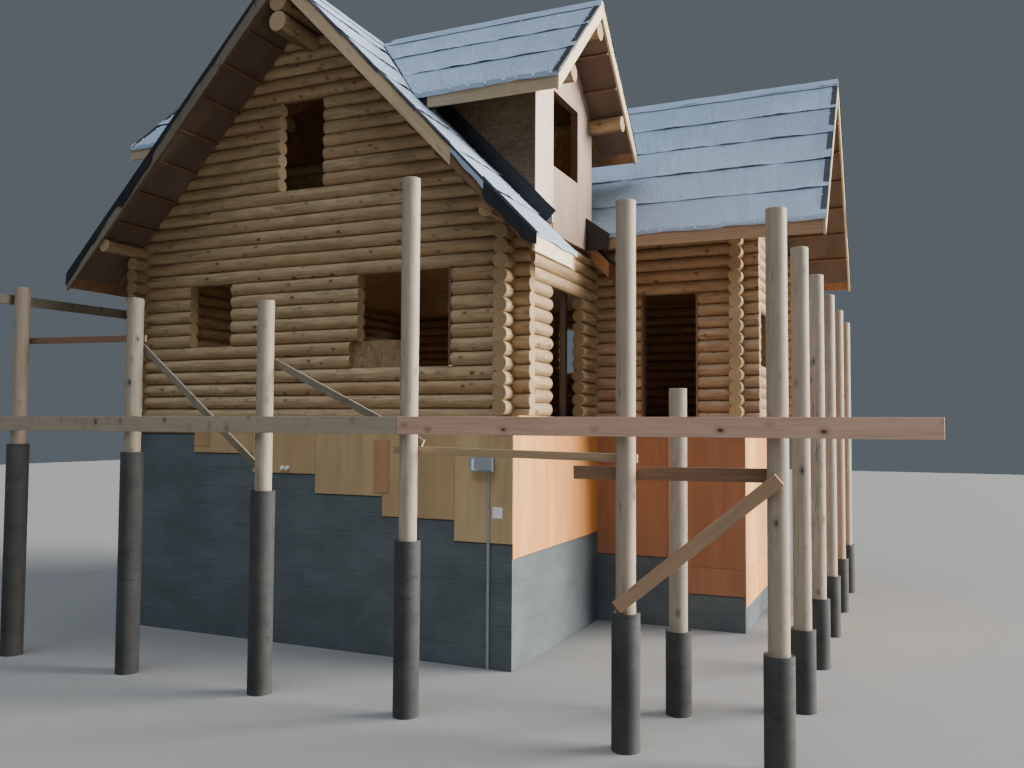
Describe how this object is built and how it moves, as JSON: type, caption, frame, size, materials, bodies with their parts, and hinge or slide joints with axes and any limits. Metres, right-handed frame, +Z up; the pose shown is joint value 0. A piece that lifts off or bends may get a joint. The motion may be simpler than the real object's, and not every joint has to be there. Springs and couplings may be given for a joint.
{
  "type": "log cabin",
  "caption": "Storey-and-a-half log cabin under construction, with dormers, a side wing, a stepped foundation and a bare porch frame on round posts.",
  "frame": {"origin": "ground level under the centre of the outline", "axes": "+X along the front gable wall to the right, towards the wing, +Y back from the front gable, +Z up"},
  "size_m": [12.783, 12.06, 9.9995],
  "materials": {
    "log_wood": "peeled logs, oiled",
    "plywood": "raw plywood",
    "osb": "raw strand board",
    "concrete": "damp-proofed concrete",
    "roof_felt": "matt underlayment",
    "sawn_wood": "sawn lumber",
    "post_wood": "peeled posts",
    "pier_form": "stained form tube",
    "grey_enamel": "semi-matt"
  },
  "bodies": {
    "root": {"dormer_cheeks": "plywood", "dormer_faces": "plywood", "dormer_fascia": "sawn_wood", "dormer_purlins": "log_wood", "dormer_roofs": "roof_felt", "eave_fascia": "sawn_wood", "electrical_service": "grey_enamel", "floor_platform": "plywood", "foundation_front_rear": "concrete", "foundation_sides": "concrete", "front_gable_peak": "log_wood", "front_gable_sides": "log_wood", "front_wall_base": "log_wood", "front_wall_piers": "log_wood", "front_wall_sill_band": "log_wood", "front_wall_upper": "log_wood", "front_window_panel": "osb", "interior_post": "sawn_wood", "left_wall_base": "log_wood", "left_wall_head": "log_wood", "left_wall_piers": "log_wood", "porch_beam": "sawn_wood", "porch_braces": "sawn_wood", "porch_piers": "pier_form", "porch_posts": "post_wood", "rake_fascia": "sawn_wood", "rear_wall_base": "log_wood", "rear_wall_piers": "log_wood", "rear_wall_upper": "log_wood", "ridge_logs": "log_wood", "right_wall_head": "log_wood", "right_wall_piers": "log_wood", "roof_left": "roof_felt", "roof_right": "roof_felt", "roof_wing": "roof_felt", "skirt_front_rear": "plywood", "skirt_sides": "plywood", "upper_floor": "plywood", "wing_end_base": "log_wood", "wing_end_gable": "log_wood", "wing_end_piers": "log_wood", "wing_fascia": "sawn_wood", "wing_front_head": "log_wood", "wing_front_piers": "log_wood", "wing_ridge_log": "log_wood"}
  },
  "joints": []
}
